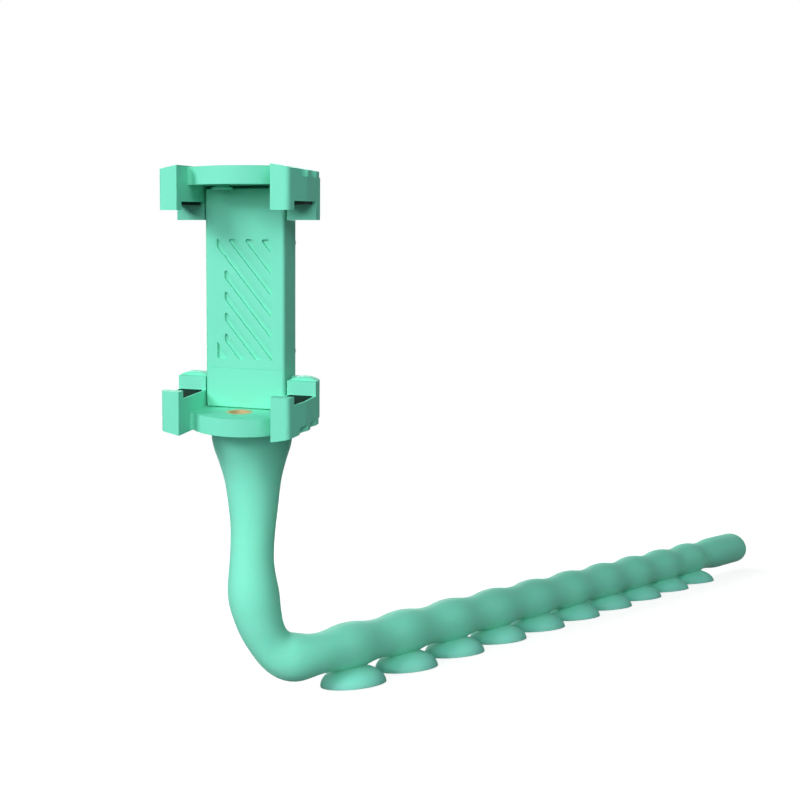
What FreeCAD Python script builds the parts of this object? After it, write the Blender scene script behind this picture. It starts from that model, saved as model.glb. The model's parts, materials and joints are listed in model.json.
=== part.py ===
import FreeCAD, Part
import math
import os

from FreeCAD import Vector

# Spring phone clip on a bendable silicone gooseneck that stands on a row of suction cups.
# Sizes are in millimetres. The clip is modelled upright about its own origin, which lies
# on the shelf of the lower jaw at the front face of the back plate: x to the right,
# y to the back, z up. The base is modelled with the tail along x, then both are placed.

# back plate of the clip
plateWidth = 25.8
plateThickness = 5.25
plateEdge = 1.1
plateCorner = 1.2
plateSeamHeight = 12.0
plateSeamWidth = 0.5
plateSeamDepth = 0.12

# clamping heights above the shelf of the lower jaw
clampGap = 58.6
floorRise = 5.0
jawSideGap = 0.45
shelfGap = 0.15
plateTopGap = 1.0

# diagonal bars sunk into the plate
barDepth = 0.45
barPitch = 6.5
barWidth = 3.1
barSlope = 1.22
barCorner = 0.6
panelTop = 52.3
panelBottom = 15.3
panelRight = 8.8
panelLeft = -9.0
panelInset = 2.5
panelLedge = 47.5

# jaws
shelfRadius = 16.6
shelfPlace = 0.3
shelfThickness = 5.3
shelfFillet = 0.8
armDrop = 0.3
armSlope = 0.2
fingerReach = 18.1
fingerInset = 1.35
fingerWidth = 5.6
fingerThickness = 3.0
fingerLip = 2.5
elbowOverhang = 9.3
elbowReach = 8.0
jawOverhang = 9.7
wallFront = 0.8
wallThickness = 4.9
wallRise = 4.3
wallStep = 1.6
wallCrown = 1.2
upperWallRise = 5.5
gussetReach = 4.5
gussetRise = 5.0
gussetThickness = 2.2
pocketRim = 0.8
pocketDepth = 1.0
padThickness = 1.15
upperPadThickness = 1.9
padClearance = 0.05
gripRadius = 3.3
gripDepth = 1.3
gripHeight = 1.8
gripFirst = -9.8
gripPitch = 8.1
gripCount = 3

# round button under the shelf of the upper jaw
buttonRadius = 3.1
buttonThickness = 0.6
buttonDrop = 1.35
buttonX = -4.65
buttonY = -6.5

# slide inside the rear housing
housingDepth = 7.15
housingBottom = 8.3
housingTop = 58.0
housingWall = 1.1
housingCorner = 1.6
jawTravel = 28.0
tongueWidth = 18.0
tongueThickness = 5.4
slideClearance = 0.3
tongueTip = 12.6
springX = 4.8
springRadius = 1.8
springBore = 1.2
springSlot = 4.6
postRadius = 1.1
postHeight = 14.5
hookHeight = 51.0

# screws that close the housing
screwRadius = 1.0
screwHeadRadius = 1.6
screwHeadHeight = 0.9
screwDepth = 3.0
screwClearance = 0.05
screwHeights = (17.0, 51.0)

# threaded insert in the shelf
insertRadius = 4.2
insertHole = 3.1
insertLength = 4.9
insertReach = 4.95

# joint between clip and neck
neckOffset = 6.5
studRadius = 2.5
studLength = 4.0
studClearance = 0.05
swivelGap = 0.3
topPlateRadius = 12.2
topPlateThickness = 1.2

# pose of the clip on the neck, as bent by hand
forwardLean = 12.9
sideLean = 10.4
tailHeading = 62.5

# path of the neck: how far its top stands above, before and beside the first cup
neckHeight = 82.49
neckSetback = 28.16
neckShift = 4.7

# silicone sleeve
axisHeight = 11.5
bulgeRadius = 6.95
valleyRadius = 5.35
cupPitch = 26.0
cupCount = 10
tailDroop = 0.25
knobRadius = 7.1
knobLength = 43.7
knobShoulder = 15.0
flareRadius = 12.9
flareStations = ((0.068, 12.3), (0.13, 10.6), (0.2, 8.95), (0.29, 7.9), (0.39, 7.0), (0.5, 6.9),
                 (0.62, 7.9), (0.7, 7.2), (0.79, 6.4), (0.9, 7.5), (0.96, 6.3))

# suction cups
cupRadius = 10.5
cupHeight = 8.45
cupRimWidth = 1.3
cupHollow = 2.2

plateHeight = clampGap + 2.0 * floorRise - plateTopGap
jawMirror = (clampGap + 2.0 * floorRise) / 2.0
plateBack = plateThickness
housingBack = plateBack + housingDepth
tongueFront = plateBack + slideClearance
tongueBack = tongueFront + tongueThickness
wallBack = wallFront + wallThickness
armInner = plateWidth / 2.0 + jawSideGap
fingerInner = plateWidth / 2.0 + fingerInset
fingerOuter = fingerInner + fingerWidth
elbowHalfWidth = plateWidth / 2.0 + elbowOverhang
jawHalfWidth = plateWidth / 2.0 + jawOverhang
bridgeHalfWidth = plateWidth / 2.0 - jawSideGap
armBottom = -shelfThickness - armDrop
far = 2.0 * (jawHalfWidth + fingerReach)
tailStart = -cupPitch / 2.0
neckTop = Vector(-neckSetback, neckShift, neckHeight)
neckMiddle = Vector(-neckSetback, 1.83 * neckShift, 0.63 * neckHeight)
neckFoot = Vector(-1.093 * neckSetback, 1.73 * neckShift, 0.364 * neckHeight)
bendLow = Vector(-0.795 * neckSetback, 0.93 * neckShift, 1.046 * axisHeight)


def box(x0, x1, y0, y1, z0, z1):
    return Part.makeBox(x1 - x0, y1 - y0, z1 - z0, Vector(x0, y0, z0))


def roundedOutline(corners, height):
    # closed outline in the xy plane; each corner is (x, y, radius)
    edges = []
    cuts = []
    count = len(corners)
    for i in range(count):
        x, y, radius = corners[i]
        here = Vector(x, y, height)
        before = Vector(corners[i - 1][0], corners[i - 1][1], height)
        after = Vector(corners[(i + 1) % count][0], corners[(i + 1) % count][1], height)
        if radius == 0:
            cuts.append((here, None, here))
            continue
        back = (before - here).normalize()
        ahead = (after - here).normalize()
        half = math.acos(max(-1.0, min(1.0, back.dot(ahead)))) / 2.0
        run = radius / math.tan(half)
        middle = (back + ahead).normalize()
        top = here + middle * (radius / math.sin(half) - radius)
        cuts.append((here + back * run, top, here + ahead * run))
    for i in range(count):
        start, top, end = cuts[i]
        if top is not None:
            edges.append(Part.Arc(start, top, end).toShape())
        following = cuts[(i + 1) % count][0]
        edges.append(Part.LineSegment(end, following).toShape())
    return Part.Wire(edges)


def prism(corners, z0, z1):
    face = Part.Face(roundedOutline(corners, z0))
    return face.extrude(Vector(0, 0, z1 - z0))


def rodAlongY(x, z, radius, y0, y1):
    return Part.makeCylinder(radius, y1 - y0, Vector(x, y0, z), Vector(0, 1, 0))


def rodAlongZ(x, y, radius, z0, z1):
    return Part.makeCylinder(radius, z1 - z0, Vector(x, y, z0), Vector(0, 0, 1))


def mirrorX(shape):
    return shape.mirror(Vector(0, 0, 0), Vector(1, 0, 0))


def mirrorJaw(shape):
    return shape.mirror(Vector(0, 0, jawMirror), Vector(0, 0, 1))


def upright(corners, y0, y1):
    # prism along y; each corner is (x, z, radius)
    return prism(corners, -y1, -y0).rotate(Vector(0, 0, 0), Vector(1, 0, 0), 90)


def sheetAlongY(points, y0, y1):
    return upright([(x, z, 0) for x, z in points], y0, y1)


def softCorners(points, radius):
    # the radius is smaller where an edge beside the corner is short
    corners = []
    count = len(points)
    for i in range(count):
        here = Vector(points[i][0], points[i][1], 0)
        before = Vector(points[i - 1][0], points[i - 1][1], 0) - here
        after = Vector(points[(i + 1) % count][0], points[(i + 1) % count][1], 0) - here
        room = 0.45 * min(before.Length, after.Length) * math.tan(before.getAngle(after) / 2.0)
        corners.append((here.x, here.y, min(radius, room)))
    return corners


def diagonalBars():
    # parallel strips, kept inside an outline that is stepped on its left side
    inset = panelLeft + panelInset
    ledge = panelBottom + barPitch * 0.8
    panel = sheetAlongY([(panelLeft, panelTop), (panelRight, panelTop), (panelRight, panelBottom),
                         (panelLeft, panelBottom), (panelLeft, ledge), (inset, ledge),
                         (inset, panelLedge), (panelLeft, panelLedge)], -1.0, barDepth)
    rise = barSlope * (panelRight - panelLeft)
    bars = []
    edge = panelTop - barPitch * 0.7
    while edge > panelBottom - rise - barWidth:
        low = edge - barPitch if edge + rise < ledge else edge
        strip = sheetAlongY([(panelLeft, low + rise), (panelRight, low), (panelRight, edge + barWidth),
                             (panelLeft, edge + rise + barWidth)], -1.0, barDepth)
        for solid in strip.common(panel).Solids:
            inner = max(solid.removeSplitter().Faces, key=lambda face: face.CenterOfMass.y)
            points = [(corner.X, corner.Z) for corner in inner.OuterWire.OrderedVertexes]
            bars.append(upright(softCorners(points, barCorner), -1.0, barDepth))
        edge -= barPitch
    return Part.makeCompound(bars)


def screwPlaces():
    x = (plateWidth / 2.0 + tongueWidth / 2.0 + slideClearance) / 2.0
    return [(side * x, z) for side in (-1, 1) for z in screwHeights]


def makePlate():
    half = plateWidth / 2.0
    body = prism([(-half, 0, plateEdge), (half, 0, plateEdge), (half, plateBack, 0), (-half, plateBack, 0)],
                 shelfGap, plateHeight)
    front = upright([(-half, shelfGap, plateCorner), (half, shelfGap, plateCorner),
                     (half, plateHeight, plateCorner), (-half, plateHeight, plateCorner)], -1.0, plateBack + 1)
    body = body.common(front)
    seam = box(-half - 1, half + 1, -1, plateSeamDepth, plateSeamHeight, plateSeamHeight + plateSeamWidth)
    body = body.cut(seam).cut(diagonalBars())
    for x, z in screwPlaces():
        body = body.cut(rodAlongY(x, z, screwRadius + screwClearance, plateBack - screwDepth, plateBack + 1))
    return body


def makeHousing():
    half = plateWidth / 2.0
    body = prism([(-half, plateBack, 0), (half, plateBack, 0), (half, housingBack, housingCorner),
                  (-half, housingBack, housingCorner)], housingBottom, housingTop)
    slot = tongueWidth / 2.0 + slideClearance
    cavity = box(-slot, slot, plateBack - 1, tongueBack + slideClearance, tongueTip - slideClearance, housingTop + 1)
    body = body.cut(cavity)
    for side in (-1, 1):
        post = rodAlongY(side * springX, postHeight, postRadius, plateBack, housingBack - housingWall / 2.0)
        body = body.fuse(post)
    for x, z in screwPlaces():
        body = body.cut(rodAlongY(x, z, screwRadius + screwClearance, plateBack - 1, housingBack + 1))
        head = rodAlongY(x, z, screwHeadRadius + screwClearance, housingBack - screwHeadHeight, housingBack + 1)
        body = body.cut(head)
    return body


def makeScrews():
    screws = []
    for x, z in screwPlaces():
        shank = rodAlongY(x, z, screwRadius, plateBack - screwDepth, housingBack - screwHeadHeight)
        head = rodAlongY(x, z, screwHeadRadius, housingBack - screwHeadHeight, housingBack - 0.1)
        slot = box(x - 1.0, x + 1.0, housingBack - 0.5, housingBack, z - 0.2, z + 0.2)
        screws.append(shank.fuse(head).cut(slot))
    return Part.makeCompound(screws)


def outerAt(y):
    # half width of the jaw at a depth
    places = [(fingerOuter, -fingerReach), (elbowHalfWidth, -elbowReach), (jawHalfWidth, wallBack)]
    for (xa, ya), (xb, yb) in zip(places, places[1:]):
        if y <= yb:
            return xa + (xb - xa) * (y - ya) / (yb - ya)
    return jawHalfWidth


def innerAt(y):
    share = min(1.0, max(0.0, (y + fingerReach) / (fingerReach - 2.0)))
    return fingerInner + (armInner - fingerInner) * share


def armOutline(inset, y0, y1):
    # plan of the right arm between two depths, drawn in by an inset on both sides
    corners = [(innerAt(y0) + inset, y0), (outerAt(y0) - inset, y0), (outerAt(-elbowReach) - inset, -elbowReach),
               (outerAt(y1) - inset, y1), (innerAt(y1) + inset, y1), (innerAt(-2.0) + inset, -2.0)]
    return corners


def clawWall(corners, tall):
    # the lower claws carry an arched ridge behind the straight front edge of the wall
    crest = floorRise + (upperWallRise if tall else wallRise)
    wall = prism(corners, armBottom, crest).common(box(0, far, wallFront, far, -far, far))
    if tall:
        return wall
    chord = jawHalfWidth - armInner
    radius = (chord ** 2 / 4.0 + wallCrown ** 2) / (2.0 * wallCrown)
    arch = rodAlongY((armInner + jawHalfWidth) / 2.0, crest + wallCrown - radius, radius, wallFront + wallStep, far)
    ridge = prism(corners, armBottom, crest + wallCrown).common(arch)
    return wall.fuse(ridge)


def gusset():
    # joins the wall of a claw to the block behind the plate
    front = plateBack + slideClearance
    low = housingBottom - slideClearance
    high = floorRise + gussetRise
    tip = armInner + gussetReach
    return sheetAlongY([(bridgeHalfWidth - 1, -shelfThickness), (bridgeHalfWidth - 1, low), (armInner, low),
                        (armInner, high), (tip - 0.7, high), (tip + 2.0, floorRise + 1.0),
                        (tip + 2.0, -shelfThickness)], front, front + gussetThickness)


def rightArm(tall):
    plan = armOutline(0.0, -fingerReach, wallBack)
    radii = (0.3, 1.6, 4.0, 1.0, 0.0, 0.0)
    corners = [(x, y, r) for (x, y), r in zip(plan, radii)]
    arm = prism(corners, armBottom, floorRise)
    lip = prism(corners, armBottom, floorRise + fingerLip)
    lip = lip.common(box(0, far, -far, fingerThickness - fingerReach, -far, far))
    arm = arm.fuse(lip).fuse(clawWall(corners, tall)).fuse(gusset())
    return arm.cut(pocketShape(0.0, floorRise - pocketDepth, floorRise + 1))


def pocketShape(gap, z0, z1):
    front = fingerThickness - fingerReach + pocketRim / 2.0 + gap
    back = wallFront - pocketRim / 2.0 - gap
    corners = [(x, y, 0.6) for x, y in armOutline(pocketRim + gap, front, back)]
    return prism(corners, z0, z1)


def softShelf(body):
    # rounds the two upright inner edges where the shelf runs into the arms
    edges = []
    for edge in body.Edges:
        a, b = [corner.Point for corner in edge.Vertexes[:1] + edge.Vertexes[-1:]]
        onRim = abs(math.hypot(a.x, a.y - shelfPlace) - shelfRadius) < 0.01
        if onRim and math.hypot(a.x - b.x, a.y - b.y) < 0.001 and armInner < abs(a.x) < fingerInner + 0.1:
            edges.append(edge)
    try:
        return body.makeFillet(shelfFillet, edges) if edges else body
    except Part.OCCError:
        return body


def jawBody(tall):
    # shelf, arms and claws, drawn as the lower jaw
    disc = rodAlongZ(0, shelfPlace, shelfRadius, -shelfThickness, 0)
    disc = disc.common(box(-far, far, -far, wallBack, -far, far))
    tail = prism([(-bridgeHalfWidth, -5, 0), (bridgeHalfWidth, -5, 0), (bridgeHalfWidth, housingBack, housingCorner),
                  (-bridgeHalfWidth, housingBack, housingCorner)], -shelfThickness, 0)
    arm = rightArm(tall)
    body = softShelf(disc.fuse(tail).fuse(arm).fuse(mirrorX(arm)))
    edge = armBottom + armSlope * (far - fingerInner)
    slopes = sheetAlongY([(-far, edge), (-fingerInner, armBottom), (fingerInner, armBottom), (far, edge),
                          (far, far), (-far, far)], -far, far)
    body = body.common(slopes)
    rim = armBottom + armSlope * (jawHalfWidth - fingerInner)
    for i in range(gripCount):
        y = gripFirst + i * gripPitch
        x = outerAt(y) + gripRadius - gripDepth
        for side in (-1, 1):
            body = body.cut(rodAlongZ(side * x, y, gripRadius, -far, rim + gripHeight))
    return body


def makeLowerJaw(body):
    half = bridgeHalfWidth
    block = prism([(-half, plateBack, 0), (half, plateBack, 0), (half, housingBack, housingCorner),
                   (-half, housingBack, housingCorner)], -0.5, housingBottom)
    jaw = body.fuse(block)
    jaw = jaw.cut(rodAlongZ(0, -insertReach, insertRadius, -insertLength, 1))
    top = studLength - shelfThickness - swivelGap + 0.3
    return jaw.cut(rodAlongZ(0, neckOffset, studRadius + studClearance, -shelfThickness - 1, top))


def makeUpperJaw(body):
    half = bridgeHalfWidth
    underside = 2.0 * jawMirror
    button = rodAlongZ(buttonX, buttonY, buttonRadius, underside - buttonDrop, underside - buttonDrop + buttonThickness)
    stem = rodAlongZ(buttonX, buttonY, buttonRadius * 0.7, underside - buttonDrop, underside + 1)
    jaw = mirrorJaw(body).fuse(button).fuse(stem)
    bridge = prism([(-half, tongueFront, 0), (half, tongueFront, 0), (half, housingBack, housingCorner),
                    (-half, housingBack, housingCorner)], housingTop + slideClearance + 0.1, 2.0 * jawMirror + 1.0)
    tongue = box(-tongueWidth / 2.0, tongueWidth / 2.0, tongueFront, tongueBack, tongueTip, 2.0 * jawMirror)
    for side in (-1, 1):
        x = side * springX
        slot = box(x - springSlot / 2.0, x + springSlot / 2.0, 0, housingBack, tongueTip - 1, hookHeight + postRadius)
        hook = box(x - springSlot / 2.0 - 0.2, x + springSlot / 2.0 + 0.2, tongueFront + 1.4, tongueBack - 1.4,
                   hookHeight - postRadius, hookHeight + postRadius + 0.2)
        tongue = tongue.cut(slot).fuse(hook)
    return jaw.fuse(bridge).fuse(tongue)


def makeSpring(side):
    y = (tongueFront + tongueBack) / 2.0
    z0 = postHeight + postRadius
    z1 = hookHeight - postRadius
    tube = rodAlongZ(side * springX, y, springRadius, z0, z1)
    return tube.cut(rodAlongZ(side * springX, y, springBore, z0 - 1, z1 + 1))


def makePad(thickness):
    floor = floorRise - pocketDepth
    return pocketShape(padClearance, floor, floor + thickness)


def makeInsert():
    ring = rodAlongZ(0, -insertReach, insertRadius, -insertLength, 0)
    return ring.cut(rodAlongZ(0, -insertReach, insertHole, -insertLength + 0.6, 1))


def makeTopPlate():
    z1 = -shelfThickness - swivelGap
    z0 = z1 - topPlateThickness
    disc = rodAlongZ(0, neckOffset, topPlateRadius, z0, z1)
    return disc.fuse(rodAlongZ(0, neckOffset, studRadius, z0, z1 + studLength))


def neckTopInClip():
    return Vector(0, neckOffset, -shelfThickness - swivelGap - topPlateThickness)


def clipRotation():
    lean = FreeCAD.Rotation(Vector(1, 0, 0), forwardLean)
    tilt = FreeCAD.Rotation(Vector(0, 1, 0), sideLean)
    return lean.multiply(tilt)


def clipPlacement():
    turn = FreeCAD.Rotation(Vector(0, 0, 1), tailHeading)
    rotation = clipRotation()
    target = turn.multVec(neckTop)
    return FreeCAD.Placement(target - rotation.multVec(neckTopInClip()), rotation)


def neckCurve():
    # the neck leaves the clip along the clip's own axis and ends along the tail
    turn = FreeCAD.Rotation(Vector(0, 0, 1), -tailHeading)
    down = turn.multVec(clipRotation().multVec(Vector(0, 0, -1)))
    end = Vector(tailStart, 0, axisHeight)
    ahead = FreeCAD.Rotation(Vector(0, 1, 0), tailDroop).multVec(Vector(1, 0, 0))
    points = [neckTop, neckMiddle, neckFoot, bendLow, end]
    curve = Part.BSplineCurve()
    curve.interpolate(Points=points, InitialTangent=down * 30.0, FinalTangent=ahead * 30.0)
    return curve


def makeNeck():
    curve = neckCurve()
    length = curve.length()
    stations = ((0.0, flareRadius),) + flareStations + ((1.0, valleyRadius),)
    wires = []
    side = Vector(1, 0, 0)
    for share, radius in stations:
        parameter = curve.parameterAtDistance(share * length, curve.FirstParameter)
        point = curve.value(parameter)
        axis = curve.tangent(parameter)[0]
        side = (side - axis * side.dot(axis)).normalize()
        circle = Part.Circle()
        circle.Radius = radius
        wire = Part.Wire([circle.toShape()])
        third = axis.cross(side)
        matrix = FreeCAD.Matrix(side.x, third.x, axis.x, point.x, side.y, third.y, axis.y, point.y,
                                side.z, third.z, axis.z, point.z, 0, 0, 0, 1)
        wire.Placement = FreeCAD.Placement(matrix)
        wires.append(wire)
    return Part.makeLoft(wires, True, False)


def wave(x0, r0, x1, r1):
    # two equal arcs that meet in the middle and are level at both ends
    half = (x1 - x0) / 2.0
    rise = (r1 - r0) / 2.0
    radius = (half ** 2 + rise ** 2) / (2.0 * abs(rise))
    sag = math.copysign(radius - math.sqrt(radius ** 2 - half ** 2 / 4.0), rise)
    middle = Vector(x0 + half, 0, r0 + rise)
    return [Part.Arc(Vector(x0, 0, r0), Vector(x0 + half / 2.0, 0, r0 + sag), middle).toShape(),
            Part.Arc(middle, Vector(x1 - half / 2.0, 0, r1 - sag), Vector(x1, 0, r1)).toShape()]


def turned(edges):
    # closes a profile down to the axis of the tail and turns it, with the tail's slight droop
    first = edges[0].Vertexes[0].Point
    last = edges[-1].Vertexes[-1].Point
    closing = []
    if last.z > 0.001:
        closing.append(Part.LineSegment(last, Vector(last.x, 0, 0)).toShape())
    closing.append(Part.LineSegment(Vector(last.x, 0, 0), Vector(first.x, 0, 0)).toShape())
    closing.append(Part.LineSegment(Vector(first.x, 0, 0), first).toShape())
    face = Part.Face(Part.Wire(edges + closing))
    solid = face.revolve(Vector(0, 0, 0), Vector(1, 0, 0), 360)
    solid.translate(Vector(0, 0, axisHeight))
    solid.rotate(Vector(tailStart, 0, axisHeight), Vector(0, 1, 0), tailDroop)
    return solid


def bulge(i):
    crest = i * cupPitch
    return (wave(crest - cupPitch / 2.0, valleyRadius, crest, bulgeRadius)
            + wave(crest, bulgeRadius, crest + cupPitch / 2.0, valleyRadius))


def makeTail():
    # one wave per cup, then the rounded knob at the free end
    edges = []
    for i in range(cupCount):
        edges += bulge(i)
    start = tailStart + cupCount * cupPitch
    shoulder = start + knobShoulder
    centre = start + knobLength - knobRadius
    slant = knobRadius * math.sqrt(0.5)
    edges += wave(start, valleyRadius, shoulder, knobRadius)
    edges.append(Part.LineSegment(Vector(shoulder, 0, knobRadius), Vector(centre, 0, knobRadius)).toShape())
    edges.append(Part.Arc(Vector(centre, 0, knobRadius), Vector(centre + slant, 0, slant),
                          Vector(centre + knobRadius, 0, 0)).toShape())
    return turned(edges)


def capArc(radius, height):
    # arc in the xz plane from the rim of a spherical cap to its top
    ball = (radius ** 2 + height ** 2) / (2.0 * height)
    centre = height - ball
    start = math.atan2(-centre, radius)
    middle = (start + math.pi / 2.0) / 2.0
    return Part.Arc(Vector(radius, 0, 0), Vector(ball * math.cos(middle), 0, centre + ball * math.sin(middle)),
                    Vector(0, 0, height)).toShape()


def makeCup(i):
    # spherical dome with a shallow hollow below, cut to fit under its bulge
    inner = cupRadius - cupRimWidth
    dome = [capArc(cupRadius, cupHeight),
            Part.LineSegment(Vector(0, 0, cupHeight), Vector(0, 0, cupHollow)).toShape(),
            capArc(inner, cupHollow),
            Part.LineSegment(Vector(inner, 0, 0), Vector(cupRadius, 0, 0)).toShape()]
    solid = Part.Face(Part.Wire(dome)).revolve(Vector(0, 0, 0), Vector(0, 0, 1), 360)
    solid.translate(Vector(i * cupPitch, 0, 0))
    pieces = sorted(solid.cut(turned(bulge(i))).Solids, key=lambda piece: piece.Volume)
    return pieces[-1]


lowerPad = makePad(padThickness)
upperPad = makePad(upperPadThickness)
clip = {
    "front_plate": makePlate(),
    "rear_housing": makeHousing(),
    "housing_screws": makeScrews(),
    "lower_jaw": makeLowerJaw(jawBody(False)),
    "upper_jaw": makeUpperJaw(jawBody(True)),
    "thread_insert": makeInsert(),
    "spring_left": makeSpring(-1),
    "spring_right": makeSpring(1),
    "pad_lower_right": lowerPad,
    "pad_lower_left": mirrorX(lowerPad),
    "pad_upper_right": mirrorJaw(upperPad),
    "pad_upper_left": mirrorJaw(mirrorX(upperPad)),
    "neck_plate": makeTopPlate(),
}
sleeve = makeNeck().fuse(makeTail())
base = {"sleeve": sleeve}
for i in range(cupCount):
    base["cup_%02d" % (i + 1)] = makeCup(i)

tailPlacement = FreeCAD.Placement(Vector(0, 0, 0), FreeCAD.Rotation(Vector(0, 0, 1), tailHeading))
placed = {}
for group, placement in ((clip, clipPlacement()), (base, tailPlacement)):
    for name, shape in group.items():
        placed[name] = shape.copy()
        placed[name].Placement = placement.multiply(shape.Placement)

bounds = Part.makeCompound(list(placed.values())).optimalBoundingBox(True, False)
shift = Vector(-bounds.Center.x, -bounds.Center.y, 0)
os.makedirs("parts", exist_ok=True)
for name, shape in placed.items():
    shape.translate(shift)
    shape.exportStep("parts/" + name + ".step")
    print(name, "solids", len(shape.Solids), "valid", shape.isValid(), "volume", round(shape.Volume, 1))

print("size", round(bounds.XLength, 2), round(bounds.YLength, 2), round(bounds.ZLength, 2))
print("lowest point", round(bounds.ZMin, 4))
print("clip origin", [round(v, 4) for v in (clipPlacement().Base + shift)])
print("first cup centre", [round(v, 4) for v in shift])
print("neck length", round(neckCurve().length(), 2))
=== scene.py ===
import json
import math

import bmesh
import bpy
from mathutils import Euler, Matrix, Vector


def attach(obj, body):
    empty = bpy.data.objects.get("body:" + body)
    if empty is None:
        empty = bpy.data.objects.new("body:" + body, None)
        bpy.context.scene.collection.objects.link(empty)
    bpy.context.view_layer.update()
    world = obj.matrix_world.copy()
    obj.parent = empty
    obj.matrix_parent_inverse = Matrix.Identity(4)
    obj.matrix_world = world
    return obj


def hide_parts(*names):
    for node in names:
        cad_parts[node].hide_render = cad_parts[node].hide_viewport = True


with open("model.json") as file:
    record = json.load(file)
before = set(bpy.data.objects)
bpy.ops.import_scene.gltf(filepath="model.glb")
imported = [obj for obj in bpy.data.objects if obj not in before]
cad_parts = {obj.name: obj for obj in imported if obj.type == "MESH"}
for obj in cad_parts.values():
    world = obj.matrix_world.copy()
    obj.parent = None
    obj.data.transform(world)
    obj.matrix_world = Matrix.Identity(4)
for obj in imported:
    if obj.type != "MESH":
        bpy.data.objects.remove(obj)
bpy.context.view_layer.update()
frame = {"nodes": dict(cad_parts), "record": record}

nodes = frame["nodes"]
scene = bpy.context.scene
scene.view_settings.view_transform = "Standard"

# where the clip sits and how far it leans, as in the model; metres and degrees
clipPose = {
    "origin": (-0.0655544, -0.1273907, 0.0875584),
    "forwardLean": 12.9,
    "sideLean": 10.4,
}
# the tail and its row of cups on the floor; metres and degrees
tailPose = {
    "firstCup": (-0.0496101, -0.0967536, 0.0),
    "heading": 62.5,
    "pitch": 0.026,
    "cups": 10,
    "axisHeight": 0.0115,
    "droop": 0.25,
}

clipFrame = (Matrix.Translation(clipPose["origin"])
             @ Matrix.Rotation(math.radians(clipPose["forwardLean"]), 4, "X")
             @ Matrix.Rotation(math.radians(clipPose["sideLean"]), 4, "Y"))
tailFrame = (Matrix.Translation(tailPose["firstCup"])
             @ Matrix.Rotation(math.radians(tailPose["heading"]), 4, "Z"))
intoClip = clipFrame.inverted()


# a socket that can be used in plain arithmetic
class Wire:
    def __init__(self, graph, socket):
        self.graph = graph
        self.socket = socket

    def maths(self, operation, first, second):
        return self.graph.node("ShaderNodeMath", {"operation": operation}, {0: first, 1: second})

    def __add__(self, other):
        return self.maths("ADD", self, other)

    def __sub__(self, other):
        return self.maths("SUBTRACT", self, other)

    def __mul__(self, other):
        return self.maths("MULTIPLY", self, other)

    def __truediv__(self, other):
        return self.maths("DIVIDE", self, other)

    def __rsub__(self, other):
        return self.maths("SUBTRACT", other, self)

    def __rtruediv__(self, other):
        return self.maths("DIVIDE", other, self)

    __radd__ = __add__
    __rmul__ = __mul__

    def clamped(self):
        return self.graph.node("ShaderNodeClamp", {}, {"Value": self})

    def out(self, name):
        return Wire(self.graph, self.socket.node.outputs[name])


# the nodes of one material, or of the studio's world
class Graph:
    def __init__(self, owner, outputKind):
        owner.use_nodes = True
        self.owner = owner
        self.tree = owner.node_tree
        self.tree.nodes.clear()
        self.output = self.tree.nodes.new(outputKind)

    def node(self, kind, settings, values):
        made = self.tree.nodes.new(kind)
        for name, value in settings.items():
            setattr(made, name, value)
        for name, value in values.items():
            if isinstance(value, Wire):
                self.tree.links.new(value.socket, made.inputs[name])
            else:
                made.inputs[name].default_value = value
        return Wire(self, next(socket for socket in made.outputs if socket.enabled))

    def place(self):
        return self.node("ShaderNodeTexCoord", {}, {}).out("Object")

    def noise(self, scale, detail, roughness=0.5):
        return self.node("ShaderNodeTexNoise", {},
                         {"Vector": self.place(), "Scale": scale, "Detail": detail, "Roughness": roughness})

    def blend(self, factor, first, second):
        # a Mix node takes its colours at 6 and 7 and gives one at 2
        mix = self.node("ShaderNodeMix", {"data_type": "RGBA"}, {0: factor, 6: first, 7: second})
        return Wire(self, mix.socket.node.outputs[2])

    def bump(self, height, strength, distance):
        return self.node("ShaderNodeBump", {}, {"Height": height, "Strength": strength, "Distance": distance})

    def seenDirectly(self):
        # one for what the camera sees, also by reflection, and nought for light that only bounces
        path = self.node("ShaderNodeLightPath", {}, {})
        return (path.out("Is Camera Ray") + path.out("Is Glossy Ray")).clamped()

    def show(self, shader):
        self.tree.links.new(shader.socket, self.output.inputs["Surface"])
        return self.owner

    def finish(self, **values):
        sockets = {name.replace("_", " "): value for name, value in values.items()}
        return self.show(self.node("ShaderNodeBsdfPrincipled", {}, sockets))


def materialGraph(name):
    return Graph(bpy.data.materials.new(name), "ShaderNodeOutputMaterial")


def tone(*levels):
    # a colour as it reads in a picture, 0 to 255, turned into light values
    lit = []
    for share in (level / 255 for level in levels):
        lit.append(share / 12.92 if share <= 0.04045 else ((share + 0.055) / 1.055) ** 2.4)
    return (*lit, 1.0)


# grained plastic of the clip; the floors of the sunk bars have a finer and deeper grain
plasticLook = {
    "colour": (131, 235, 206),
    "shade": (125, 230, 200),
    "cloudScale": 38.0,
    "grainScale": 1500.0,
    "grainStrength": 0.35,
    "grainHeight": 0.00003,
    "barGrainScale": 2600.0,
    "barGrainDepth": 3.0,
    "roughness": 0.37,
    "grainRoughness": 0.1,
    "cloudRoughness": 0.08,
    "ior": 1.47,
    "shine": 0.02,
}


def clipPlastic(name, grainScale, grainDepth):
    look = plasticLook
    graph = materialGraph(name)
    cloud = graph.noise(look["cloudScale"], detail=3.0)
    grain = graph.noise(grainScale, detail=2.0)
    return graph.finish(
        Base_Color=graph.blend(cloud, tone(*look["colour"]), tone(*look["shade"])),
        Roughness=grain * look["grainRoughness"] + cloud * look["cloudRoughness"] + look["roughness"],
        Normal=graph.bump(grain, look["grainStrength"] * grainDepth, look["grainHeight"] * grainDepth),
        IOR=look["ior"],
        Specular_IOR_Level=look["shine"],
    )


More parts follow.
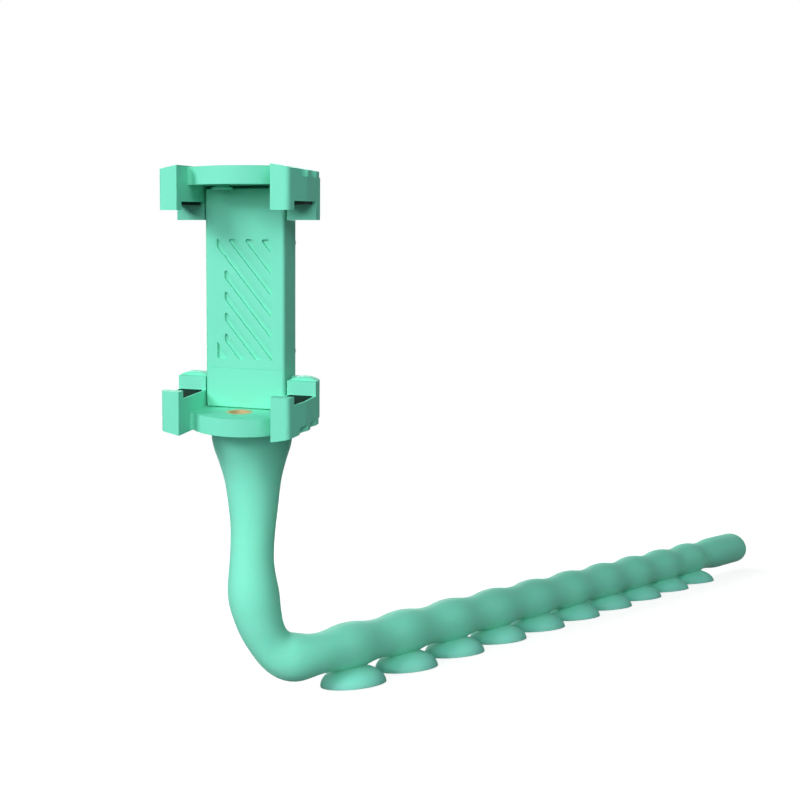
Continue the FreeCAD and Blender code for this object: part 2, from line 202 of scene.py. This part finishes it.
# matt silicone of the sleeve and cups, with a little light passing under its skin
siliconeLook = {
    "colour": (139, 238, 211),
    "shade": (131, 232, 204),
    "cloudScale": 22.0,
    "cloudShare": 0.7,
    "dustScale": 160.0,
    "dustShare": 0.3,
    "skinScale": 900.0,
    "skinStrength": 0.3,
    "skinHeight": 0.00004,
    "roughness": 0.49,
    "dustRoughness": 0.12,
    "skinRoughness": 0.06,
    "ior": 1.41,
    "shine": 0.08,
    "sheen": 0.05,
    "sheenRoughness": 0.5,
    "underSkin": 0.45,
    "underSkinTint": (0.3, 1.0, 0.75),
    "underSkinDepth": 0.008,
}


def siliconeSkin():
    look = siliconeLook
    graph = materialGraph("siliconeSkin")
    cloud = graph.noise(look["cloudScale"], detail=4.0)
    skin = graph.noise(look["skinScale"], detail=3.0)
    dust = graph.noise(look["dustScale"], detail=6.0, roughness=0.7)
    mottle = (cloud * look["cloudShare"] + dust * look["dustShare"]).clamped()
    return graph.finish(
        Base_Color=graph.blend(mottle, tone(*look["colour"]), tone(*look["shade"])),
        Roughness=dust * look["dustRoughness"] + skin * look["skinRoughness"] + look["roughness"],
        Normal=graph.bump(skin, look["skinStrength"], look["skinHeight"]),
        IOR=look["ior"],
        Specular_IOR_Level=look["shine"],
        Sheen_Weight=look["sheen"],
        Sheen_Roughness=look["sheenRoughness"],
        Subsurface_Weight=look["underSkin"],
        Subsurface_Radius=look["underSkinTint"],
        Subsurface_Scale=look["underSkinDepth"],
    )


# dark rubber of the claw pads; its near-black green is partly painted shade, standing in for the deep shade
# inside the claw pockets
padLookPaintedShade = {
    "colour": (5, 24, 17),
    "shade": (10, 38, 28),
    "cloudScale": 90.0,
    "speckScale": 1200.0,
    "speckStrength": 0.5,
    "speckHeight": 0.00006,
    "roughness": 0.62,
    "speckRoughness": 0.2,
    "shine": 0.08,
}


def padRubberPaintedShade():
    look = padLookPaintedShade
    graph = materialGraph("padRubberPaintedShade")
    cloud = graph.noise(look["cloudScale"], detail=3.0)
    speck = graph.noise(look["speckScale"], detail=3.0)
    # the base colour is the pads' dark rubber and partly painted shade of the pockets
    return graph.finish(
        Base_Color=graph.blend(cloud, tone(*look["colour"]), tone(*look["shade"])),
        Roughness=speck * look["speckRoughness"] + look["roughness"],
        Normal=graph.bump(speck, look["speckStrength"], look["speckHeight"]),
        Specular_IOR_Level=look["shine"],
    )


# brass of the threaded insert, with faint rings from the turning
brassLook = {
    "colour": (226, 204, 160),
    "shade": (208, 184, 138),
    "cloudScale": 420.0,
    "ringScale": 900.0,
    "ringDistortion": 1.5,
    "ringStrength": 0.2,
    "ringHeight": 0.00003,
    "metal": 0.3,
    "roughness": 0.3,
    "cloudRoughness": 0.25,
}


def turnedBrass():
    look = brassLook
    graph = materialGraph("turnedBrass")
    cloud = graph.noise(look["cloudScale"], detail=4.0)
    rings = graph.node("ShaderNodeTexWave", {"wave_type": "RINGS", "rings_direction": "SPHERICAL"},
                       {"Vector": graph.place(), "Scale": look["ringScale"],
                        "Distortion": look["ringDistortion"]})
    return graph.finish(
        Base_Color=graph.blend(cloud, tone(*look["colour"]), tone(*look["shade"])),
        Metallic=look["metal"],
        Roughness=cloud * look["cloudRoughness"] + look["roughness"],
        Normal=graph.bump(rings.out("Fac"), look["ringStrength"], look["ringHeight"]),
    )


# steel of the springs, the screws and the neck's plate
steelLook = {
    "colour": (146, 149, 153),
    "shade": (118, 121, 126),
    "cloudScale": 500.0,
    "cloudStrength": 0.2,
    "cloudHeight": 0.00002,
    "roughness": 0.28,
    "cloudRoughness": 0.2,
}


def springSteel():
    look = steelLook
    graph = materialGraph("springSteel")
    cloud = graph.noise(look["cloudScale"], detail=4.0)
    return graph.finish(
        Base_Color=graph.blend(cloud, tone(*look["colour"]), tone(*look["shade"])),
        Metallic=1.0,
        Roughness=cloud * look["cloudRoughness"] + look["roughness"],
        Normal=graph.bump(cloud, look["cloudStrength"], look["cloudHeight"]),
    )


plastic = clipPlastic("clipPlastic", plasticLook["grainScale"], 1.0)
barPlastic = clipPlastic("barFloor", plasticLook["barGrainScale"], plasticLook["barGrainDepth"])
silicone = siliconeSkin()
rubberPaintedShade = padRubberPaintedShade()
brass = turnedBrass()
steel = springSteel()
print("finishes made")


def bodyOf(node):
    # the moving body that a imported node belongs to
    bodies = frame["record"]["behaviour"]["bodies"]
    return next(body for body, members in bodies.items() if node in members)


def meshFrom(bm, name, sharpFrom=None):
    mesh = bpy.data.meshes.new(name)
    bmesh.ops.recalc_face_normals(bm, faces=bm.faces)
    bm.to_mesh(mesh)
    bm.free()
    if sharpFrom is not None:
        mesh.set_sharp_from_angle(angle=math.radians(sharpFrom))
    return mesh


def newPiece(name, mesh, material, node):
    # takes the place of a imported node, on the same body
    for polygon in mesh.polygons:
        polygon.use_smooth = True
    piece = bpy.data.objects.new(name, mesh)
    scene.collection.objects.link(piece)
    mesh.materials.append(material)
    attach(piece, bodyOf(node))
    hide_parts(node)
    return piece


def roundEdges(bm, edges, radius, segments):
    bmesh.ops.bevel(bm, geom=edges, offset=radius, offset_type="OFFSET", segments=segments, profile=0.5,
                    affect="EDGES", material=-1, clamp_overlap=True)


# the plate's sunk bars are a little deeper than in the model, and its foot has a rounder front edge
# metres in the clip's own frame, with depth counted from the plate's face
plateLook = {
    "barFloor": 0.00045,
    "barsDeeper": 0.0003,
    "barsReach": 0.011,
    "floorWithin": 0.00015,
    "floorFacing": 0.9,
    "footBelow": 0.001,
    "faceWithin": 0.00002,
    "footRadius": 0.0006,
    "footSegments": 3,
}


def finePlate(bm):
    inClip = {vert: intoClip @ vert.co for vert in bm.verts}
    floors = [vert for vert, place in inClip.items()
              if abs(place.y - plateLook["barFloor"]) < plateLook["floorWithin"]
              and abs(place.x) < plateLook["barsReach"]]
    bmesh.ops.translate(bm, verts=floors, vec=clipFrame.to_3x3() @ Vector((0, plateLook["barsDeeper"], 0)))
    foot = [edge for edge in bm.edges
            if all(inClip[vert].z < plateLook["footBelow"] and inClip[vert].y < plateLook["faceWithin"]
                   for vert in edge.verts)]
    roundEdges(bm, foot, plateLook["footRadius"], plateLook["footSegments"])


def grainBars(plate):
    # the floors of the sunk bars take the finer grain
    plate.data.materials.append(barPlastic)
    floorDepth = plateLook["barFloor"] + plateLook["barsDeeper"]
    for polygon in plate.data.polygons:
        depth = (intoClip @ polygon.center).y
        facing = (intoClip.to_3x3() @ polygon.normal).y
        if abs(depth - floorDepth) < plateLook["floorWithin"] and abs(facing) > plateLook["floorFacing"]:
            polygon.material_index = 1


# the moulded pieces and by how much their edges are rounded; metres and degrees
mouldings = {
    "front_plate": 0.00012,
    "rear_housing": 0.0003,
    "lower_jaw": 0.0003,
    "upper_jaw": 0.0003,
}
pads = ("pad_lower_left", "pad_lower_right", "pad_upper_left", "pad_upper_right")
edgeLook = {
    "padRadius": 0.00025,
    "segments": 2,
    "roundFrom": 28.0,
    "mergeWithin": 0.000004,
    "flatWithin": 1.0,
    "plasticSharpFrom": 35.0,
    "padSharpFrom": 30.0,
}


def softened(node, radius):
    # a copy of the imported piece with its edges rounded, as a mould leaves them
    bm = bmesh.new()
    bm.from_mesh(nodes[node].data)
    bmesh.ops.remove_doubles(bm, verts=bm.verts, dist=edgeLook["mergeWithin"])
    bmesh.ops.dissolve_limit(bm, angle_limit=math.radians(edgeLook["flatWithin"]),
                             verts=bm.verts, edges=bm.edges)
    if node == "front_plate":
        finePlate(bm)
    roundFrom = math.radians(edgeLook["roundFrom"])
    sharp = [edge for edge in bm.edges if len(edge.link_faces) == 2 and edge.calc_face_angle(0.0) > roundFrom]
    roundEdges(bm, sharp, radius, edgeLook["segments"])
    return bm


for node, radius in mouldings.items():
    mesh = meshFrom(softened(node, radius), node + "Moulding", edgeLook["plasticSharpFrom"])
    piece = newPiece(node + "_moulding", mesh, plastic, node)
    even = piece.modifiers.new("evenShading", "WEIGHTED_NORMAL")
    even.keep_sharp = True
    if node == "front_plate":
        grainBars(piece)
print("clip mouldings softened")

# the claw pads take the dark rubber whose green is partly painted shade of the pockets
for node in pads:
    mesh = meshFrom(softened(node, edgeLook["padRadius"]), node + "Rubber", edgeLook["padSharpFrom"])
    newPiece(node + "_rubber", mesh, rubberPaintedShade, node)
print("claw pads softened")

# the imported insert, screws and neck plate stay as they are and get their finish
for node, finish in (("thread_insert", brass), ("housing_screws", steel), ("neck_plate", steel)):
    nodes[node].data.materials.clear()
    nodes[node].data.materials.append(finish)

# springs between the housing and the sliding tongue; metres in the clip's own frame
spring = {
    "across": 0.0048,
    "back": 0.00825,
    "low": 0.0156,
    "high": 0.0499,
    "coil": 0.0015,
    "wire": 0.00025,
    "turns": 24,
    "stepsPerTurn": 12,
    "wireSides": 8,
}


def woundSpring(side):
    bm = bmesh.new()
    upright = Matrix.Translation((spring["coil"], 0, 0)) @ Matrix.Rotation(math.pi / 2, 4, "X")
    bmesh.ops.create_circle(bm, cap_ends=False, segments=spring["wireSides"], radius=spring["wire"],
                            matrix=upright)
    steps = spring["turns"] * spring["stepsPerTurn"]
    rise = spring["high"] - spring["low"] - 2 * spring["wire"]
    bmesh.ops.spin(bm, geom=list(bm.edges) + list(bm.verts), cent=(0, 0, 0), axis=(0, 0, 1),
                   dvec=(0, 0, rise / steps), angle=spring["turns"] * math.tau, steps=steps, use_merge=False)
    place = (side * spring["across"], spring["back"], spring["low"] + spring["wire"])
    bmesh.ops.translate(bm, verts=bm.verts, vec=place)
    bmesh.ops.holes_fill(bm, edges=[edge for edge in bm.edges if edge.is_boundary], sides=0)
    bmesh.ops.transform(bm, matrix=clipFrame, verts=bm.verts)
    return bm


for side, node in ((-1, "spring_left"), (1, "spring_right")):
    newPiece(node + "_coil", meshFrom(woundSpring(side), node + "Coil"), steel, node)
print("springs wound")

# silicone sleeve: the neck's path and thickness, then the waves of the tail; metres in the tail's own frame
# each station is a share of the neck's length and the radius there
sleeve = {
    "neckTop": (-0.02816, 0.0047, 0.08249),
    "neckMiddle": (-0.02816, 0.008601, 0.05197),
    "neckFoot": (-0.030779, 0.008131, 0.03003),
    "bendLow": (-0.022387, 0.004371, 0.01203),
    "flareRadius": 0.0129,
    "stations": (
        (0.068, 0.0123), (0.13, 0.0106), (0.2, 0.00895), (0.29, 0.0079), (0.39, 0.0070), (0.5, 0.0069),
        (0.62, 0.0079), (0.7, 0.0072), (0.79, 0.0064), (0.9, 0.0075), (0.96, 0.0063),
    ),
    "valley": 0.0061,
    "bulge": 0.0072,
    "knob": 0.0071,
    "knobLength": 0.0437,
    "knobShoulder": 0.015,
    "bendFrom": 0.72,
    "bendSide": 0.35,
    "bendSmoothing": 16,
    "joinSmoothing": 12,
    "slopeSweeps": 60,
    "probe": 0.0001,
    "around": 56,
    "neckRings": 72,
    "waveRings": 10,
    "endRings": 9,
    "sharpFrom": 40.0,
}


def onCurve(knots, values, slopes, at):
    # a smooth curve through a few stations, read at one distance
    i = next((i for i in range(len(knots) - 2) if at <= knots[i + 1]), len(knots) - 2)
    width = knots[i + 1] - knots[i]
    share = (at - knots[i]) / width
    square, cube = share ** 2, share ** 3
    return (values[i] * (2 * cube - 3 * square + 1) + slopes[i] * (width * (cube - 2 * square + share))
            + values[i + 1] * (3 * square - 2 * cube) + slopes[i + 1] * (width * (cube - square)))


def evenSlopes(points, knots, first, last):
    # slopes that let a curve bend evenly through its points, from a given first to a given last
    slopes = [first] + [Vector((0, 0, 0))] * (len(points) - 2) + [last]
    for sweep in range(sleeve["slopeSweeps"]):
        for i in range(1, len(points) - 1):
            before, after = knots[i] - knots[i - 1], knots[i + 1] - knots[i]
            pull = ((points[i] - points[i - 1]) * (3 * after / before)
                    + (points[i + 1] - points[i]) * (3 * before / after))
            slopes[i] = (pull - slopes[i - 1] * after - slopes[i + 1] * before) / (2 * (before + after))
    return slopes


def squareTo(axis, direction):
    return (direction - axis * direction.dot(axis)).normalized()


def ring(bm, centre, axis, side, radius):
    # one loop of the sleeve, square to its path
    turn = Matrix((side, axis.cross(side), axis)).transposed().to_4x4()
    made = bmesh.ops.create_circle(bm, cap_ends=False, segments=sleeve["around"], radius=radius,
                                   matrix=Matrix.Translation(centre) @ turn)
    return made["verts"]


tailRoot = Vector((-tailPose["pitch"] / 2, 0, tailPose["axisHeight"]))
tailAhead = Matrix.Rotation(math.radians(tailPose["droop"]), 3, "Y") @ Vector((1, 0, 0))
neckDown = tailFrame.to_3x3().inverted() @ (clipFrame.to_3x3() @ Vector((0, 0, -1)))
neckPoints = [Vector(sleeve[key]) for key in ("neckTop", "neckMiddle", "neckFoot", "bendLow")] + [tailRoot]
neckKnots = [0.0]
for before, after in zip(neckPoints, neckPoints[1:]):
    neckKnots.append(neckKnots[-1] + (after - before).length)
neckSlopes = evenSlopes(neckPoints, neckKnots, neckDown, tailAhead)


def neckPoint(distance):
    return onCurve(neckKnots, neckPoints, neckSlopes, distance)


def neckLoops(bm):
    # the neck's loops from the flare down, the points on the bend's inside and the last loop's side
    shares = [0.0] + [share for share, radius in sleeve["stations"]] + [1.0]
    radii = [sleeve["flareRadius"]] + [radius for share, radius in sleeve["stations"]] + [sleeve["valley"]]
    slopes = [0.0]
    for i in range(1, len(radii) - 1):
        slopes.append((radii[i + 1] - radii[i - 1]) / (shares[i + 1] - shares[i - 1]))
    slopes.append(0.0)
    loops = []
    innerBend = []
    side = Vector((1, 0, 0))
    for i in range(sleeve["neckRings"]):
        share = i / sleeve["neckRings"]
        distance = neckKnots[-1] * share
        centre = neckPoint(distance)
        ahead, behind = distance + sleeve["probe"], max(0.0, distance - sleeve["probe"])
        axis = (neckPoint(ahead) - neckPoint(behind)).normalized()
        side = squareTo(axis, side)
        loops.append(ring(bm, centre, axis, side, onCurve(shares, radii, slopes, share)))
        if share > sleeve["bendFrom"]:
            # the bend's inside looks ahead and up
            inwards = squareTo(axis, Vector((1, 0, 1)))
            innerBend += [vert for vert in loops[-1]
                          if (vert.co - centre).normalized().dot(inwards) > sleeve["bendSide"]]
    return loops, innerBend, side


def wave(low, lowRadius, high, highRadius):
    # two equal arcs that meet half-way and are level at both ends
    half, rise = (high - low) / 2, (highRadius - lowRadius) / 2
    arc = (half ** 2 + rise ** 2) / (2 * abs(rise))
    stations = []
    for step in range(sleeve["waveRings"]):
        run = 2 * half * step / sleeve["waveRings"]
        part = min(run, 2 * half - run)
        sag = math.copysign(arc - math.sqrt(arc ** 2 - part ** 2), rise)
        stations.append((low + run, lowRadius + sag if run <= half else highRadius - sag))
    return stations


# where the rounded end begins, and the centre of its ball, both counted from the tail's root
knobStart = tailPose["cups"] * tailPose["pitch"]
ballCentre = knobStart + sleeve["knobLength"] - sleeve["knob"]


def tailStations():
    # each loop's distance from the tail's root and its radius: a bulge over each cup, then the rounded end
    pitch, valley, bulge, knob = tailPose["pitch"], sleeve["valley"], sleeve["bulge"], sleeve["knob"]
    stations = []
    for cup in range(tailPose["cups"]):
        crest = (cup + 0.5) * pitch
        stations += wave(crest - pitch / 2, valley, crest, bulge)
        stations += wave(crest, bulge, crest + pitch / 2, valley)
    shoulder = knobStart + sleeve["knobShoulder"]
    stations += wave(knobStart, valley, shoulder, knob)
    stations += [(shoulder, knob), ((shoulder + ballCentre) / 2, knob)]
    for step in range(sleeve["endRings"]):
        turn = math.pi / 2 * step / sleeve["endRings"]
        stations.append((ballCentre + knob * math.sin(turn), knob * math.cos(turn)))
    return stations


def joinLoops(bm, loops):
    for before, after in zip(loops, loops[1:]):
        edges = []
        for loop in (before, after):
            members = set(loop)
            edges += [edge for vert in loop for edge in vert.link_edges if edge.other_vert(vert) in members]
        bmesh.ops.bridge_loops(bm, edges=list(dict.fromkeys(edges)))


def closeEnds(bm, tipLoop):
    # a flat cover under the clip and a pole at the tail's tip
    tipVerts = set(tipLoop)
    openEdges = [edge for edge in bm.edges if edge.is_boundary]
    tipEdges = [edge for edge in openEdges if edge.verts[0] in tipVerts]
    bmesh.ops.holes_fill(bm, edges=[edge for edge in openEdges if edge not in tipEdges], sides=0)
    grown = bmesh.ops.extrude_edge_only(bm, edges=tipEdges)["geom"]
    tip = tailRoot + tailAhead * (ballCentre + sleeve["knob"])
    grownVerts = [item for item in grown if isinstance(item, bmesh.types.BMVert)]
    bmesh.ops.pointmerge(bm, verts=grownVerts, merge_co=tip)


def evenOut(bm, loops, innerBend):
    # the inside of the bend, then wider and wider around the place where neck and tail meet
    sweeps = [innerBend] * sleeve["bendSmoothing"]
    join = sleeve["neckRings"]
    for reach in range(2, 2 + sleeve["joinSmoothing"]):
        sweeps.append([vert for loop in loops[join - reach:join + reach // 2] for vert in loop])
    for verts in sweeps:
        bmesh.ops.smooth_vert(bm, verts=verts, factor=0.5, use_axis_x=True, use_axis_y=True, use_axis_z=True)


bm = bmesh.new()
loops, innerBend, side = neckLoops(bm)
side = squareTo(tailAhead, side)
for along, radius in tailStations():
    loops.append(ring(bm, tailRoot + tailAhead * along, tailAhead, side, radius))
joinLoops(bm, loops)
closeEnds(bm, loops[-1])
evenOut(bm, loops, innerBend)
bmesh.ops.transform(bm, matrix=tailFrame, verts=bm.verts)
newPiece("sleeve_skin", meshFrom(bm, "sleeveSkin", sleeve["sharpFrom"]), silicone, "sleeve")
print("sleeve built")

# suction cups, each a dome with a shallow hollow below; metres and degrees
cupShape = {
    "radius": 0.0105,
    "height": 0.0057,
    "rim": 0.0013,
    "hollow": 0.0022,
    "steps": 16,
    "hollowSteps": 6,
    "around": 72,
    "mergeWithin": 0.000005,
    "sharpFrom": 50.0,
}


def domePoints(radius, height, steps):
    # from the rim of an elliptical dome to just below its top
    turns = [math.pi / 2 * step / steps for step in range(steps)]
    return [(radius * math.cos(turn), height * math.sin(turn)) for turn in turns]


def cupProfile():
    inner = domePoints(cupShape["radius"] - cupShape["rim"], cupShape["hollow"], cupShape["hollowSteps"])
    outer = domePoints(cupShape["radius"], cupShape["height"], cupShape["steps"])
    return [(0.0, cupShape["hollow"])] + inner[::-1] + outer + [(0.0, cupShape["height"])]


def turnedCup(along):
    bm = bmesh.new()
    outline = [bm.verts.new((x, 0, z)) for x, z in cupProfile()]
    edges = [bm.edges.new(pair) for pair in zip(outline, outline[1:])]
    bmesh.ops.spin(bm, geom=outline + edges, cent=(0, 0, 0), axis=(0, 0, 1), angle=math.tau,
                   steps=cupShape["around"], use_merge=True)
    bmesh.ops.remove_doubles(bm, verts=bm.verts, dist=cupShape["mergeWithin"])
    bmesh.ops.transform(bm, matrix=tailFrame @ Matrix.Translation((along, 0, 0)), verts=bm.verts)
    return bm


for cup in range(tailPose["cups"]):
    name = "cup_%02d" % (cup + 1)
    mesh = meshFrom(turnedCup(cup * tailPose["pitch"]), name + "Dome", cupShape["sharpFrom"])
    newPiece(name + "_dome", mesh, silicone, name)
print("cups turned")

# floor and even fill light; metres
stageLook = {
    "floorSize": 40.0,
    "floorDrop": 0.0002,
    "floorGlow": 1.3,
    "floorTone": (0.2, 0.2, 0.2, 1.0),
    "shadowShare": 0.35,
    "shadowReach": (0.25, 0.5),
    "fillTone": (0.5, 1.0, 0.88, 1.0),
    "fillStrength": 0.065,
}
white = (1.0, 1.0, 1.0, 1.0)


def paleFloor():
    # white to the eye, with a faint shadow under the object that fades out, so no horizon shows
    graph = materialGraph("paleFloor")
    away = graph.node("ShaderNodeVectorMath", {"operation": "LENGTH"}, {0: graph.place()}).out("Value")
    near, fading = stageLook["shadowReach"]
    share = (1 - (away - near) / fading).clamped() * stageLook["shadowShare"]
    lit = graph.node("ShaderNodeBsdfDiffuse", {}, {"Color": white})
    bounce = graph.node("ShaderNodeBsdfDiffuse", {}, {"Color": stageLook["floorTone"]})
    glow = graph.node("ShaderNodeEmission", {}, {"Color": white, "Strength": stageLook["floorGlow"]})
    shown = graph.node("ShaderNodeMixShader", {}, {0: 1 - share, 1: lit, 2: glow})
    return graph.show(graph.node("ShaderNodeMixShader", {}, {0: graph.seenDirectly(), 1: bounce, 2: shown}))


def studioWorld():
    # a white surround to the eye, and a dim even fill for the object
    graph = Graph(bpy.data.worlds.new("studio"), "ShaderNodeOutputWorld")
    fill = graph.node("ShaderNodeBackground", {},
                      {"Color": stageLook["fillTone"], "Strength": stageLook["fillStrength"]})
    surround = graph.node("ShaderNodeBackground", {}, {"Color": white, "Strength": 1.0})
    return graph.show(graph.node("ShaderNodeMixShader", {}, {0: graph.seenDirectly(), 1: fill, 2: surround}))


bm = bmesh.new()
bmesh.ops.create_grid(bm, x_segments=1, y_segments=1, size=stageLook["floorSize"])
bmesh.ops.translate(bm, verts=bm.verts, vec=(0, 0, -stageLook["floorDrop"]))
floorMesh = bpy.data.meshes.new("floorMesh")
bm.to_mesh(floorMesh)
bm.free()
floor = bpy.data.objects.new("floor", floorMesh)
scene.collection.objects.link(floor)
floor.data.materials.append(paleFloor())
scene.world = studioWorld()

# each soft lamp's place, width and power, and the point at which all of them aim
lamps = {
    "key": ((-0.6, -1.15, 0.62), 0.4, 9.3),
    "front": ((-0.05, -1.3, 0.12), 0.6, 6.0),
    "side": ((0.65, -1.05, 0.5), 0.6, 4.8),
    "back": ((-0.45, 1.1, 0.7), 0.8, 11.0),
}
lampAim = Vector((-0.03, -0.06, 0.08))
for name, (place, width, power) in lamps.items():
    lampData = bpy.data.lights.new(name, "AREA")
    lampData.size = width
    lampData.energy = power
    lamp = bpy.data.objects.new(name, lampData)
    lamp.location = place
    lamp.rotation_euler = (lampAim - lamp.location).to_track_quat("-Z", "Y").to_euler()
    scene.collection.objects.link(lamp)

# the camera stands where the photograph was taken from; metres, degrees and millimetres of lens and sensor
view = {
    "place": (0.047688, -0.4156871, 0.062401),
    "turn": (100.694, 5.688, 20.01),
    "lens": 45.0,
    "sensor": 36.0,
    "shift": (0.1525, -0.125),
    "nearest": 0.01,
}
cameraData = bpy.data.cameras.new("camera")
cameraData.lens = view["lens"]
cameraData.sensor_width = view["sensor"]
cameraData.shift_x, cameraData.shift_y = view["shift"]
cameraData.clip_start = view["nearest"]
camera = bpy.data.objects.new("camera", cameraData)
camera.location = view["place"]
camera.rotation_euler = Euler([math.radians(angle) for angle in view["turn"]], "XYZ")
scene.collection.objects.link(camera)
scene.camera = camera
print("stage set")
